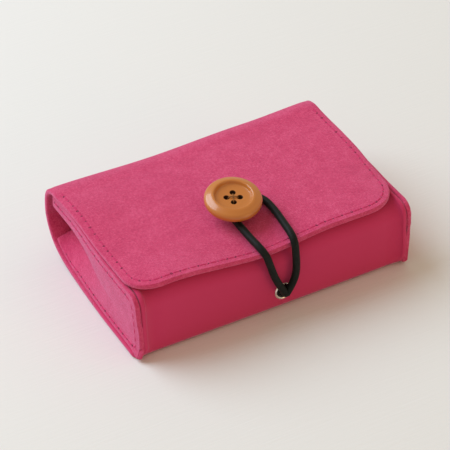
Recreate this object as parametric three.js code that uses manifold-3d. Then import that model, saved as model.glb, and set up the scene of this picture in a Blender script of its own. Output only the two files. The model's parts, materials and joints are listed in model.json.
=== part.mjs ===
// Felt needle case, closed: a felt wrap folded into a flat box, bellows ends, a flap over the top,
// a wooden button on a thread shank, and an elastic loop that comes out of an eyelet in the front wall.
// Millimetres. X runs along the case, +Y to the back fold, +Z up. The origin is the middle of the
// space that the closed case fills, on the surface it lies on.

import * as THREE from "three";
import { mergeVertices } from "three/addons/utils/BufferGeometryUtils.js";
import Module from "manifold-3d";

const wasm = await Module();
wasm.setup();

// Driving dimensions
const CASE_LENGTH = 100; // X, over the seam threads
const CLOSED_HEIGHT = 28; // to the top of the closed flap
const FELT = 2; // thickness of the wrap and of the end gussets
const GAP = 0.3; // clearance between pieces that touch
const REST_GAP = 0.1; // clearance of cord and thread from what they lie on
const FOLD_GAP = 0.5; // left between the wrap's panels at a fold
const SEAM_STAND = 1.5; // raw seam edges stand this far out of the wall and the top panel
const SEAM_INSET = 3; // from a gusset's raw edge to its row of stitches
const FLAP_INSET = 2; // the same on the flap
const THREAD_END = 1; // a row stops this far short of the back edge
const THREAD_RADIUS = 0.25;
const THREAD_LIFT = 0.2; // clear of the felt it lies on
const WALL_Y = -31.7; // outer face of the front wall
const BACK_Y = 31.3; // where the base panel and the gussets end, inside the spine
const MOUTH_SETBACK = 2; // the top panel ends this far in front of them
const CORD_RADIUS = 1.25; // round elastic
const FRONT_REACH = 35.6; // the elastic in front and the curved spine behind reach equally far

// Worked out from the driving dimensions
const THREAD_TOP = THREAD_LIFT + 2 * THREAD_RADIUS; // how far a row of stitches stands above the felt
const GUSSET_OUTER_X = CASE_LENGTH / 2 - THREAD_TOP;
const PANEL_HALF = GUSSET_OUTER_X - FELT - GAP; // half length of the wrap's panels
const FLAP_UNDER_Z = CLOSED_HEIGHT - FELT;
const SEAM_TOP_Z = FLAP_UNDER_Z - GAP;
const SEAM_FRONT_Y = WALL_Y - SEAM_STAND;
const TOP_PANEL_Z = SEAM_TOP_Z - SEAM_STAND; // upper face of the top panel
const CORD_Z = CLOSED_HEIGHT + THREAD_TOP + REST_GAP + CORD_RADIUS; // elastic lying over the flap's stitches

// Flap
const FLAP_LENGTH = 99;
const FLAP_FRONT_Y = -32.8;
const FLAP_BACK_Y = 32.4;
const FLAP_CORNER = 9.5;

// Spine: a shallow arc from the bottom fold to the top fold
const SPINE_LOW_Z = 1.6;
const SPINE_HIGH_Z = FLAP_UNDER_Z - FOLD_GAP;
const SPINE_BULGE = 2;
const SPINE_STEPS = 12;

// Bellows of the end gussets
const BELLOWS_DEPTH = 9; // how far the back end is tucked in
const BELLOWS_LOW_Z = 4.5;
const BELLOWS_HIGH_Z = 21.2;
const BELLOWS_TURN = 3.5; // height over which the felt turns inwards
const BELLOWS_START_Y = -22;
const BELLOWS_COLUMNS = 16;
const BELLOWS_ROWS = 20;

// Needle leaf, sewn under the back of the flap
const LEAF = { length: 78, depth: 46, thick: 1, back: 28, corner: 5 };

// Button, on its thread shank
const LOOP_ROOM = 1.3; // between the elastic and the button, where the shank's threads spread
const BUTTON = { x: -4, y: -12.4, radius: 9.5, thick: 3.9, bottom: CORD_Z + CORD_RADIUS + LOOP_ROOM };
const BUTTON_TILT = (10 * Math.PI) / 180; // the elastic pulls its front edge down
const RIM_ROUND = 1.8; // half width of the rounded rim
const DISH = { run: 2.4, depth: 1.5 }; // slope from the rim to the dished middle
const BUTTON_HOLE_RADIUS = 1;
const BUTTON_HOLE_PITCH = 3.1; // between neighbouring holes
const BUTTON_HOLES_TURN = (67 * Math.PI) / 180;
const SHANK_RADIUS = 1.25;
const LEG_RADIUS = 0.55;
const SPREAD_THICK = 0.4; // where the threads fan out from the shank to the holes
const CROSS = { lift: 0.3, thick: 0.6, width: 1 }; // threads crossing over the dished middle

// Eyelet, low in the front wall
const EYELET = { x: 3, z: 7, inner: 2.3, barrel: 2.7, flange: 3.2, plate: 0.6, round: 0.3, washer: 4.2 };
const KNOT = { radius: 3.3, length: 4.6 };
const THROAT_RADIUS = 2; // the two strands pressed together inside the barrel

// Facets
const CORNER_SEGMENTS = 8;
const CURVE_SEGMENTS = 6; // of an arc in a turned section
const BUTTON_SIDES = 48;
const METAL_SIDES = 40;
const KNOT_SIDES = 20;
const HOLE_SIDES = 16;
const LEG_SIDES = 8;
const CORD_SIDES = 8;
const THREAD_SIDES = 6;
const STRAND_STEPS = 10;
const BIGHT_STEPS = 40;
const ROW_STEPS = 76; // along a whole row of stitches

// Materials
const felt = () => new THREE.MeshStandardMaterial({ color: 0xc9476a, roughness: 0.95, metalness: 0 });
const leafFelt = () => new THREE.MeshStandardMaterial({ color: 0xe9e2d2, roughness: 0.95, metalness: 0 });
const pinkThread = () => new THREE.MeshStandardMaterial({ color: 0xb93a62, roughness: 0.7, metalness: 0 });
const tanThread = () => new THREE.MeshStandardMaterial({ color: 0x9a5a2c, roughness: 0.7, metalness: 0 });
const wood = () => new THREE.MeshStandardMaterial({ color: 0xbc6a2c, roughness: 0.35, metalness: 0 });
const elastic = () => new THREE.MeshStandardMaterial({ color: 0x15181a, roughness: 0.55, metalness: 0 });
const metal = () => new THREE.MeshStandardMaterial({ color: 0xd8d5cf, roughness: 0.3, metalness: 1 });

// Solids

function toSolid(geometry) {
  const bare = geometry.clone();
  bare.deleteAttribute("normal");
  bare.deleteAttribute("uv");
  const merged = mergeVertices(bare, 1e-4);
  return new wasm.Manifold(new wasm.Mesh({
    numProp: 3,
    vertProperties: new Float32Array(merged.attributes.position.array),
    triVerts: new Uint32Array(merged.index.array),
  }));
}

function toGeometry(solid) {
  const mesh = solid.getMesh();
  const geometry = new THREE.BufferGeometry();
  geometry.setAttribute("position", new THREE.BufferAttribute(new Float32Array(mesh.vertProperties), 3));
  geometry.setIndex(new THREE.BufferAttribute(new Uint32Array(mesh.triVerts), 1));
  geometry.computeVertexNormals();
  return geometry;
}

function joined(geometries) {
  return toGeometry(geometries.map(toSolid).reduce((whole, piece) => whole.add(piece)));
}

function cut(geometry, tools) {
  return toGeometry(tools.map(toSolid).reduce((whole, tool) => whole.subtract(tool), toSolid(geometry)));
}

function piece(name, geometry, material, x = 0, y = 0, z = 0) {
  const mesh = new THREE.Mesh(geometry, material);
  mesh.name = name;
  mesh.position.set(x, y, z);
  return mesh;
}

function smoothstep(low, high, value) {
  const t = Math.min(1, Math.max(0, (value - low) / (high - low)));
  return t * t * (3 - 2 * t);
}

// A rectangle, centred in X and starting at y = 0, with rounded corners at the y = 0 end
// and, where both is true, at the far end too
function roundedPlate(length, depth, thick, corner, both) {
  const half = length / 2;
  const far = both ? corner : 0;
  const shape = new THREE.Shape();
  shape.moveTo(-half + corner, 0);
  shape.lineTo(half - corner, 0);
  shape.absarc(half - corner, corner, corner, -Math.PI / 2, 0);
  shape.lineTo(half, depth - far);
  if (both) {
    shape.absarc(half - corner, depth - corner, corner, 0, Math.PI / 2);
    shape.absarc(-half + corner, depth - corner, corner, Math.PI / 2, Math.PI);
  } else {
    shape.lineTo(-half, depth);
  }
  shape.lineTo(-half, corner);
  shape.absarc(-half + corner, corner, corner, Math.PI, Math.PI * 1.5);
  const options = { depth: thick, bevelEnabled: false, curveSegments: CORNER_SEGMENTS };
  return new THREE.ExtrudeGeometry(shape, options);
}

// A felt panel whose two end margins turn outwards to be sewn to the gussets. The section lies in XY,
// with the panel's outer face at y = 0 and its inner face at y = FELT; it is extruded by run along Z.
function panelWithTurnedMargins(run) {
  const section = new THREE.Shape([
    new THREE.Vector2(-PANEL_HALF, -SEAM_STAND),
    new THREE.Vector2(-PANEL_HALF + FELT, -SEAM_STAND),
    new THREE.Vector2(-PANEL_HALF + FELT, 0),
    new THREE.Vector2(PANEL_HALF - FELT, 0),
    new THREE.Vector2(PANEL_HALF - FELT, -SEAM_STAND),
    new THREE.Vector2(PANEL_HALF, -SEAM_STAND),
    new THREE.Vector2(PANEL_HALF, FELT),
    new THREE.Vector2(-PANEL_HALF, FELT),
  ]);
  return new THREE.ExtrudeGeometry(section, { depth: run, bevelEnabled: false });
}

function circle(radius, sides) {
  const shape = new THREE.Shape();
  for (let i = 0; i < sides; i++) {
    const angle = (2 * Math.PI * i) / sides;
    const point = [radius * Math.cos(angle), radius * Math.sin(angle)];
    if (i === 0) shape.moveTo(...point);
    else shape.lineTo(...point);
  }
  return shape;
}

// Points along part of an ellipse, both ends included
function arc(centreR, centreY, reachR, reachY, from, to) {
  return Array.from({ length: CURVE_SEGMENTS + 1 }, (_, i) => {
    const angle = from + ((to - from) * i) / CURVE_SEGMENTS;
    return [centreR + reachR * Math.cos(angle), centreY + reachY * Math.sin(angle)];
  });
}

function tube(path, radius, sides, steps) {
  return new THREE.ExtrudeGeometry(circle(radius, sides), { extrudePath: path, steps, bevelEnabled: false });
}

function lathe(profile, segments) {
  return new THREE.LatheGeometry(profile.map(([r, y]) => new THREE.Vector2(r, y)), segments);
}

// Pocket: base, front wall and top panel of the wrap

function basePanel() {
  const inner = WALL_Y + FELT + GAP;
  const depth = BACK_Y - inner;
  const geometry = new THREE.BoxGeometry(2 * PANEL_HALF, depth, FELT);
  return piece("base_panel", geometry, felt(), 0, inner + depth / 2, FELT / 2);
}

function frontWall() {
  const height = TOP_PANEL_Z;
  const hole = new THREE.CylinderGeometry(EYELET.barrel + GAP, EYELET.barrel + GAP, 4 * FELT, METAL_SIDES);
  hole.translate(EYELET.x, 0, EYELET.z);
  return piece("front_wall", cut(panelWithTurnedMargins(height), [hole]), felt(), 0, WALL_Y, 0);
}

function topPanel() {
  const front = WALL_Y + FELT + GAP;
  const depth = BACK_Y - MOUTH_SETBACK - front;
  const mesh = piece("top_panel", panelWithTurnedMargins(depth), felt(), 0, front, TOP_PANEL_Z);
  mesh.rotation.x = -Math.PI / 2; // the turned margins point up
  return mesh;
}

// End gussets: flat margins all round, tucked inwards like a bellows towards the open back

function bellows(y, z) {
  const along = smoothstep(BELLOWS_START_Y, BACK_Y, y);
  const rising = smoothstep(BELLOWS_LOW_Z, BELLOWS_LOW_Z + BELLOWS_TURN, z);
  const falling = 1 - smoothstep(BELLOWS_HIGH_Z - BELLOWS_TURN, BELLOWS_HIGH_Z, z);
  return BELLOWS_DEPTH * along * rising * falling;
}

function gusset(name, side) {
  const depth = BACK_Y - SEAM_FRONT_Y;
  const geometry = new THREE.BoxGeometry(FELT, depth, SEAM_TOP_Z, 1, BELLOWS_COLUMNS, BELLOWS_ROWS);
  const middleY = SEAM_FRONT_Y + depth / 2;
  const position = geometry.attributes.position;
  for (let i = 0; i < position.count; i++) {
    const tuck = bellows(position.getY(i) + middleY, position.getZ(i) + SEAM_TOP_Z / 2);
    position.setX(i, position.getX(i) - side * tuck);
  }
  const x = side * (GUSSET_OUTER_X - FELT / 2);
  return piece(name, geometry, felt(), x, middleY, SEAM_TOP_Z / 2);
}

// Row of stitches that joins a gusset to the base, the wall and the top panel
function seamThread(name, side) {
  const low = SEAM_INSET;
  const high = SEAM_TOP_Z - SEAM_INSET;
  const front = SEAM_FRONT_Y + SEAM_INSET;
  const back = BACK_Y - THREAD_END;
  const turn = SEAM_INSET;
  const at = (y, z) => new THREE.Vector3(0, y, z);
  const path = new THREE.CurvePath();
  path.add(new THREE.LineCurve3(at(back, low), at(front + turn, low)));
  path.add(new THREE.QuadraticBezierCurve3(at(front + turn, low), at(front, low), at(front, low + turn)));
  path.add(new THREE.LineCurve3(at(front, low + turn), at(front, high - turn)));
  path.add(new THREE.QuadraticBezierCurve3(at(front, high - turn), at(front, high), at(front + turn, high)));
  path.add(new THREE.LineCurve3(at(front + turn, high), at(back, high)));
  const x = side * (GUSSET_OUTER_X + THREAD_LIFT + THREAD_RADIUS);
  return piece(name, tube(path, THREAD_RADIUS, THREAD_SIDES, ROW_STEPS), pinkThread(), x);
}

// Spine: from the fold at the base to the fold at the flap

function spinePanel() {
  const middle = (SPINE_LOW_Z + SPINE_HIGH_Z) / 2;
  const half = (SPINE_HIGH_Z - SPINE_LOW_Z) / 2;
  const bow = (z) => SPINE_BULGE * (1 - ((z - middle) / half) ** 2);
  const outerY = FRONT_REACH - SPINE_BULGE;
  const rise = (2 * half) / SPINE_STEPS;
  const heights = Array.from({ length: SPINE_STEPS + 1 }, (_, i) => SPINE_LOW_Z + rise * i);
  const outer = heights.map((z) => new THREE.Vector2(outerY + bow(z), z));
  const inner = heights.map((z) => new THREE.Vector2(outerY - FELT + bow(z), z)).reverse();
  const geometry = new THREE.ExtrudeGeometry(new THREE.Shape([...outer, ...inner]), {
    depth: 2 * PANEL_HALF,
    bevelEnabled: false,
  });
  const mesh = piece("spine_panel", geometry, felt(), -PANEL_HALF);
  // the section's first axis turns onto Y, its second onto Z, and the run onto X
  const [x, y, z] = [[1, 0, 0], [0, 1, 0], [0, 0, 1]].map((axis) => new THREE.Vector3(...axis));
  mesh.setRotationFromMatrix(new THREE.Matrix4().makeBasis(y, z, x));
  return mesh;
}

// Flap, its row of stitches and the needle leaf under it

function flapPanel() {
  const geometry = roundedPlate(FLAP_LENGTH, FLAP_BACK_Y - FLAP_FRONT_Y, FELT, FLAP_CORNER, false);
  return piece("flap_panel", geometry, felt(), 0, FLAP_FRONT_Y, FLAP_UNDER_Z);
}

function flapThread() {
  const half = FLAP_LENGTH / 2 - FLAP_INSET;
  const front = FLAP_FRONT_Y + FLAP_INSET;
  const back = FLAP_BACK_Y - THREAD_END;
  const turn = FLAP_CORNER - FLAP_INSET;
  const at = (x, y) => new THREE.Vector3(x, y, 0);
  const path = new THREE.CurvePath();
  path.add(new THREE.LineCurve3(at(-half, back), at(-half, front + turn)));
  path.add(new THREE.QuadraticBezierCurve3(at(-half, front + turn), at(-half, front), at(-half + turn, front)));
  path.add(new THREE.LineCurve3(at(-half + turn, front), at(half - turn, front)));
  path.add(new THREE.QuadraticBezierCurve3(at(half - turn, front), at(half, front), at(half, front + turn)));
  path.add(new THREE.LineCurve3(at(half, front + turn), at(half, back)));
  const z = CLOSED_HEIGHT + THREAD_LIFT + THREAD_RADIUS;
  return piece("flap_thread", tube(path, THREAD_RADIUS, THREAD_SIDES, ROW_STEPS), pinkThread(), 0, 0, z);
}

function needleLeaf() {
  const geometry = roundedPlate(LEAF.length, LEAF.depth, LEAF.thick, LEAF.corner, true);
  const z = FLAP_UNDER_Z - GAP - LEAF.thick;
  return piece("needle_leaf", geometry, leafFelt(), 0, LEAF.back - LEAF.depth, z);
}

// Button: turned wood with a rounded rim, a dished middle and four holes

function holeCentres() {
  const reach = BUTTON_HOLE_PITCH / Math.SQRT2;
  return [0, 1, 2, 3].map((i) => {
    const angle = BUTTON_HOLES_TURN + (i * Math.PI) / 2;
    return [reach * Math.cos(angle), reach * Math.sin(angle)];
  });
}

function upright(radius, low, high, x, y, sides) {
  const geometry = new THREE.CylinderGeometry(radius, radius, high - low, sides);
  geometry.rotateX(Math.PI / 2);
  geometry.translate(x, y, (low + high) / 2);
  return geometry;
}

function woodenButton() {
  const { radius, thick } = BUTTON;
  const rimMiddle = radius - RIM_ROUND;
  const rim = arc(rimMiddle, thick / 2, RIM_ROUND, thick / 2, -Math.PI / 2, Math.PI / 2);
  const slopeAt = (t) => [rimMiddle - DISH.run * t, thick - DISH.depth * smoothstep(0, 1, t)];
  const slope = [0.25, 0.5, 0.75, 1].map(slopeAt);
  const profile = [[0, 0], ...rim, ...slope, [0, thick - DISH.depth]];
  const body = lathe(profile, BUTTON_SIDES);
  body.rotateX(Math.PI / 2);
  const holes = holeCentres().map(([x, y]) => upright(BUTTON_HOLE_RADIUS, -1, thick + 1, x, y, HOLE_SIDES));
  const geometry = cut(body, holes);
  geometry.rotateX(BUTTON_TILT);
  return piece("wooden_button", geometry, wood(), BUTTON.x, BUTTON.y, BUTTON.bottom);
}

// Thread: a wound shank under the button, a leg up each hole, and a cross over the middle
function buttonThread() {
  const footRise = SHANK_RADIUS * Math.sin(BUTTON_TILT); // the tilted shank's foot clears the flap
  const shankLow = CLOSED_HEIGHT + GAP + footRise - BUTTON.bottom;
  const top = -REST_GAP;
  const crossLow = BUTTON.thick - DISH.depth + CROSS.lift;
  const legTop = crossLow + CROSS.thick;
  const legs = holeCentres().map(([x, y]) => upright(LEG_RADIUS, top - SPREAD_THICK, legTop, x, y, LEG_SIDES));
  const reach = BUTTON_HOLE_PITCH / Math.SQRT2 + LEG_RADIUS;
  const spread = upright(reach, top - SPREAD_THICK, top, 0, 0, HOLE_SIDES);
  const cross = [0, 1].map((i) => {
    const bar = new THREE.BoxGeometry(BUTTON_HOLE_PITCH * Math.SQRT2, CROSS.width, CROSS.thick);
    bar.rotateZ(BUTTON_HOLES_TURN + (i * Math.PI) / 2);
    bar.translate(0, 0, crossLow + CROSS.thick / 2);
    return bar;
  });
  const shank = upright(SHANK_RADIUS, shankLow, top - SPREAD_THICK / 2, 0, 0, HOLE_SIDES);
  const geometry = joined([shank, spread, ...legs, ...cross]);
  geometry.rotateX(BUTTON_TILT);
  return piece("button_thread", geometry, tanThread(), BUTTON.x, BUTTON.y, BUTTON.bottom);
}

// Eyelet: a flanged barrel through the wall, and its washer inside

function eyeletBarrel() {
  const { inner, barrel, flange, plate, round } = EYELET;
  const face = WALL_Y - GAP - plate;
  const end = WALL_Y + FELT + GAP + plate + REST_GAP;
  const profile = [
    [inner, face + round / 2], [inner + round / 2, face], [flange - round, face], [flange, face + round],
    [flange, face + plate], [barrel, face + plate], [barrel, end], [inner, end], [inner, face + round / 2],
  ];
  return piece("eyelet", lathe(profile, METAL_SIDES), metal(), EYELET.x, 0, EYELET.z);
}

function eyeletWasher() {
  const low = WALL_Y + FELT + GAP;
  const high = low + EYELET.plate;
  const hole = EYELET.barrel + GAP;
  const profile = [[hole, low], [EYELET.washer, low], [EYELET.washer, high], [hole, high], [hole, low]];
  return piece("eyelet_washer", lathe(profile, METAL_SIDES), metal(), EYELET.x, 0, EYELET.z);
}

// Elastic. Its route in two stretches: up the front wall, then over the flap and round the shank.

const ROUTE_EDGE_Y = -(FRONT_REACH - CORD_RADIUS);
const LEFT_STRAND = [
  [3, -34.1, 7], [1.6, -34.2, 9.8], [0, -34.3, 13.5], [-1.9, ROUTE_EDGE_Y, 19],
  [-4, ROUTE_EDGE_Y, 24.5], [-4.8, ROUTE_EDGE_Y, 27.1],
];
const RIGHT_STRAND = [
  [3, -34.1, 7], [5, -34.2, 10], [6.4, -34.3, 13.5], [6.9, ROUTE_EDGE_Y, 18],
  [6.8, ROUTE_EDGE_Y, 23.5], [6.6, ROUTE_EDGE_Y, 27.1],
];
const BIGHT = [
  [-5, ROUTE_EDGE_Y, 27.9], [-5.5, -33.6, 29.2], [-6, -31.4, CORD_Z], [-6.6, -25, CORD_Z],
  [-7, -18, CORD_Z], [-6.9, -13, CORD_Z], [-5.8, -9.3, CORD_Z], [-3, -7.6, CORD_Z],
  [1, -7.2, CORD_Z], [5, -8.4, CORD_Z], [7.3, -12, CORD_Z], [7.7, -18, CORD_Z],
  [7.4, -25, CORD_Z], [6.9, -31.4, CORD_Z], [6.7, -33.6, 29.2], [6.6, ROUTE_EDGE_Y, 27.9],
];

function route(points) {
  return new THREE.CatmullRomCurve3(points.map((p) => new THREE.Vector3(...p)));
}

function elasticStrands() {
  const strand = (points) => tube(route(points), CORD_RADIUS, CORD_SIDES, STRAND_STEPS);
  const strands = [LEFT_STRAND, RIGHT_STRAND].map(strand);
  return piece("elastic_strands", joined(strands), elastic());
}

function elasticBight() {
  return piece("elastic_bight", tube(route(BIGHT), CORD_RADIUS, CORD_SIDES, BIGHT_STEPS), elastic());
}

// The two strands pass through the barrel together and end in a knot behind the washer
function elasticKnot() {
  const front = WALL_Y - GAP - EYELET.plate;
  const back = WALL_Y + FELT + 2 * (GAP + EYELET.plate);
  const start = -Math.acos(THROAT_RADIUS / KNOT.radius);
  const reach = KNOT.length / (1 - Math.sin(start));
  const lump = arc(0, back + KNOT.length - reach, KNOT.radius, reach, start, Math.PI / 2);
  lump[CURVE_SEGMENTS][0] = 0; // exactly on the axis
  const profile = [[0, front], [THROAT_RADIUS, front], ...lump];
  return piece("elastic_knot", lathe(profile, KNOT_SIDES), elastic(), EYELET.x, 0, EYELET.z);
}

// Assembly

function group(...children) {
  const whole = new THREE.Group();
  whole.add(...children);
  return whole;
}

const pocket = group(basePanel(), frontWall(), topPanel());
const ends = group(
  gusset("left_gusset", -1),
  gusset("right_gusset", 1),
  seamThread("left_seam_thread", -1),
  seamThread("right_seam_thread", 1),
);
const flap = group(flapPanel(), flapThread(), needleLeaf());
const button = group(woodenButton(), buttonThread());
const closure = group(eyeletBarrel(), eyeletWasher(), elasticStrands(), elasticBight(), elasticKnot());

export default group(pocket, ends, spinePanel(), flap, button, closure);
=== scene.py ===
"""Felt needle case: its looks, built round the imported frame.

Metres. X runs along the case, +Y to the back fold, +Z up. The felt is one strip that folds from the top
panel down the front wall, under the base, up the spine and over the top as the flap.
"""

import json
import math

import bpy
import bmesh
import numpy as np
from mathutils import Matrix, Vector


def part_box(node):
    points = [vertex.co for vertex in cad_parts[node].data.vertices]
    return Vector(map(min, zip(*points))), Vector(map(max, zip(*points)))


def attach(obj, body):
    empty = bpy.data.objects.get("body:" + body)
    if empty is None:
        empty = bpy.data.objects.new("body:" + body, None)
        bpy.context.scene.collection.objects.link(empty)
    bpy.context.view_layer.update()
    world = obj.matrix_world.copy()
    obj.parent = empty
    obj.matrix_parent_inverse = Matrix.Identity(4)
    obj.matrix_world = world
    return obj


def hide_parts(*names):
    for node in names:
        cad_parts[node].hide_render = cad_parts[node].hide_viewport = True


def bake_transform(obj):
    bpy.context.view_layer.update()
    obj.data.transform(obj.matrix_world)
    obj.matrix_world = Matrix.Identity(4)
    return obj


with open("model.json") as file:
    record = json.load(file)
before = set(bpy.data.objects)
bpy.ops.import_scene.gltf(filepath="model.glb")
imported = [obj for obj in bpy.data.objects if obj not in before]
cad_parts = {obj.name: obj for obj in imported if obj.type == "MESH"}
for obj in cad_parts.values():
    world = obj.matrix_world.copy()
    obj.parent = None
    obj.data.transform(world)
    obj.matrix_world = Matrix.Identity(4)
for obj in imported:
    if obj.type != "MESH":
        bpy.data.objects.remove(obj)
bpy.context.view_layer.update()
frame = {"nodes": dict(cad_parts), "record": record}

# Sizes from the frame
MM = 0.001
FELT = 2 * MM
FLAP_LOW, FLAP_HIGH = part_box("flap_panel")
GUSSET_LOW, GUSSET_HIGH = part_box("right_gusset")
BUTTON_LOW, BUTTON_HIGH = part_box("wooden_button")
EYELET_LOW, EYELET_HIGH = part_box("eyelet")
LEAF_LOW, LEAF_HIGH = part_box("needle_leaf")
EYELET_CENTRE = (EYELET_LOW + EYELET_HIGH) / 2
EYELET_RADIUS = (EYELET_HIGH.x - EYELET_LOW.x) / 2
FLAP_TOP = FLAP_HIGH.z
SEAM_TOP = GUSSET_HIGH.z
SEAM_FRONT = GUSSET_LOW.y
GUSSET_BACK = GUSSET_HIGH.y
GUSSET_MIDDLE_X = GUSSET_HIGH.x - FELT / 2
PANEL_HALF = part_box("front_wall")[1].x
FLAP_HALF = FLAP_HIGH.x
WALL_FACE = EYELET_LOW.y + 0.9 * MM  # outer face of the wall, behind the eyelet's flange

# The felt
STEP = 0.8 * MM  # spacing of the felt meshes
SEAM_STAND = 1.5 * MM
LEFT_CORNER = 9.5 * MM  # radii of the flap's two front corners
RIGHT_CORNER = 13 * MM
FLAP_STITCH_INSET = 2 * MM
SEAM_STITCH_INSET = 3 * MM
STITCH_PITCH = 3.3 * MM
THREAD_RADIUS = 0.25 * MM
LEFT_SPLAY = 1.1 * MM  # how far each sewn end leans out
RIGHT_SPLAY = 2.3 * MM
FOOT_TUCK = 0.65  # share of the right end's lean that its foot lacks
LEFT_SIDE, RIGHT_SIDE = -1, 1

# Elastic: the same route points as the frame's solids
CORD_RADIUS = 1.25 * MM
EDGE = -0.03435  # y of the strands in front of the flap's edge
TOP = 0.03005  # height of the cord's middle on the flap
LEFT_STRAND = [
    (0.003, -0.0341, 0.007), (0.0016, -0.0342, 0.0098), (0, -0.0343, 0.0135), (-0.0019, EDGE, 0.019),
    (-0.004, EDGE, 0.0245), (-0.0048, EDGE, 0.0271),
]
RIGHT_STRAND = [
    (0.003, -0.0341, 0.007), (0.005, -0.0342, 0.010), (0.0064, -0.0343, 0.0135), (0.0069, EDGE, 0.018),
    (0.0068, EDGE, 0.0235), (0.0066, EDGE, 0.0271),
]
BIGHT = [
    (-0.005, EDGE, 0.0279), (-0.0055, -0.0336, 0.0292), (-0.006, -0.0314, TOP), (-0.0066, -0.025, TOP),
    (-0.007, -0.018, TOP), (-0.0069, -0.013, TOP), (-0.0058, -0.0093, TOP), (-0.003, -0.0076, TOP),
    (0.001, -0.0072, TOP), (0.005, -0.0084, TOP), (0.0073, -0.012, TOP), (0.0077, -0.018, TOP),
    (0.0074, -0.025, TOP), (0.0069, -0.0314, TOP), (0.0067, -0.0336, 0.0292), (0.0066, EDGE, 0.0279),
]


# Small maths

def smoothstep(low, high, value):
    """0 up to low, 1 from high on, and smooth between. low may be the larger."""
    t = np.clip((np.asarray(value, float) - low) / (high - low), 0, 1)
    return t * t * (3 - 2 * t)


def hump(centre, reach, value):
    """1 at centre, falling smoothly to 0 at centre - reach and centre + reach."""
    return smoothstep(reach, 0, np.abs(np.asarray(value, float) - centre))


def unit(vectors):
    vectors = np.asarray(vectors, float)
    return vectors / np.maximum(np.linalg.norm(vectors, axis=-1, keepdims=True), 1e-12)


def rounded_gap(first, second, radius):
    """Distance in from two edges that meet in a rounded corner."""
    corner = (first < radius) & (second < radius)
    return np.where(corner, radius - np.hypot(radius - first, radius - second), np.minimum(first, second))


def corner_cut(y, front, radius):
    """What a rounded front corner takes off the side at y."""
    into = np.clip(front + radius - y, 0, radius)
    return radius - np.sqrt(radius ** 2 - into ** 2)


def lift(x, y):
    """How far the closed felt stands above the frame's flat top: less where the elastic pulls it down."""
    x, y = np.asarray(x) / MM, np.asarray(y) / MM
    front = smoothstep(-14, -33, y)
    dip = -2.2 * hump(-3, 25, x) * front
    left_corner = 1.1 * hump(-37, 17, x) * front
    left_crown = 1.3 * smoothstep(-25, -50, x) * hump(12, 20, y)
    right_crown = 0.6 * smoothstep(20, 50, x) * hump(14, 22, y)
    right_corner = -0.9 * smoothstep(38, 50, x) * smoothstep(0, -20, y)
    right_back = 0.8 * smoothstep(25, 50, x) * smoothstep(16, 30, y)
    back_dip = -0.9 * hump(-12, 34, x) * smoothstep(14, 30, y)
    return MM * (dip + left_corner + left_crown + right_crown + right_corner + right_back + back_dip)


def splay(y, side):
    """How far a sewn end leans out beyond the frame's: more towards the front wall."""
    reach = np.where(np.asarray(side) > 0, RIGHT_SPLAY, LEFT_SPLAY)
    return reach * smoothstep(GUSSET_BACK, -12 * MM, y)


def settled(points):
    """The points moved with the felt as it settles; nothing moves below the eyelet."""
    points = np.array(points, float)
    share = smoothstep(8 * MM, 26 * MM, points[..., 2])
    points[..., 2] += lift(points[..., 0], points[..., 1]) * share
    return points


def steps_along(line):
    return np.linalg.norm(np.diff(line, axis=0), axis=1)


def length_of(line):
    return float(steps_along(line).sum())


def run_along(line):
    """Distance gone along the line at each of its points."""
    return np.concatenate([[0], np.cumsum(steps_along(line))])


def between(a, b, t, start, end):
    """a where t is start, b where t is end."""
    return a + (b - a) * (t - start) / (end - start)


def smooth_path(points, step):
    """Points about step apart on a centripetal Catmull-Rom curve through points."""
    p = np.array(points, float)
    p = np.vstack([2 * p[0] - p[1], p, 2 * p[-1] - p[-2]])
    line = []
    for p0, p1, p2, p3 in zip(p, p[1:], p[2:], p[3:]):
        t1 = np.linalg.norm(p1 - p0) ** 0.5
        t2 = t1 + np.linalg.norm(p2 - p1) ** 0.5
        t3 = t2 + np.linalg.norm(p3 - p2) ** 0.5
        t = np.linspace(t1, t2, 25)[:-1, None]
        middle = between(p1, p2, t, t1, t2)
        first = between(between(p0, p1, t, 0, t1), middle, t, 0, t2)
        second = between(middle, between(p2, p3, t, t2, t3), t, t1, t3)
        line.extend(between(first, second, t, t1, t2))
    return respaced(np.array([*line, p[-2]]), step)


def eased(line, reach):
    """The line with its bends softened over 2 * reach + 1 points; the ends stay."""
    padded = np.pad(line, ((reach, reach), (0, 0)), "edge")
    window = np.hanning(2 * reach + 3)[1:-1]
    soft = np.stack([np.convolve(padded[:, k], window / window.sum(), "valid") for k in range(3)], axis=1)
    soft[0], soft[-1] = line[0], line[-1]
    return soft


def respaced(line, step):
    """The line as points about step apart."""
    gone = run_along(line)
    count = max(2, round(gone[-1] / step) + 1)
    at = np.linspace(0, gone[-1], count)
    return np.stack([np.interp(at, gone, line[:, k]) for k in range(line.shape[1])], axis=1)


def filleted(corners, radii, step):
    """Points step apart along straight runs between corners, with each inner corner rounded to its radius."""
    c = np.array(corners, float)
    line = [c[0]]
    for before, corner, after, radius in zip(c, c[1:], c[2:], radii):
        a, b = unit(before - corner), unit(after - corner)
        half = math.acos(float(np.clip(a @ b, -1, 1))) / 2
        centre = corner + unit(a + b) * radius / math.sin(half)
        start, end = corner + a * radius / math.tan(half), corner + b * radius / math.tan(half)
        for t in np.linspace(0, 1, 13):
            line.append(centre + radius * unit((1 - t) * (start - centre) + t * (end - centre)))
    return respaced(np.array([*line, c[-1]]), step)


# Mesh building

def linked(name, data):
    """A new object of the scene that shows data."""
    thing = bpy.data.objects.new(name, data)
    bpy.context.scene.collection.objects.link(thing)
    return thing


def new_piece(name, vertices, faces):
    mesh = bpy.data.meshes.new(name)
    mesh.from_pydata([tuple(v) for v in vertices], [], faces)
    mesh.shade_smooth()
    return linked(name, mesh)


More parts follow.
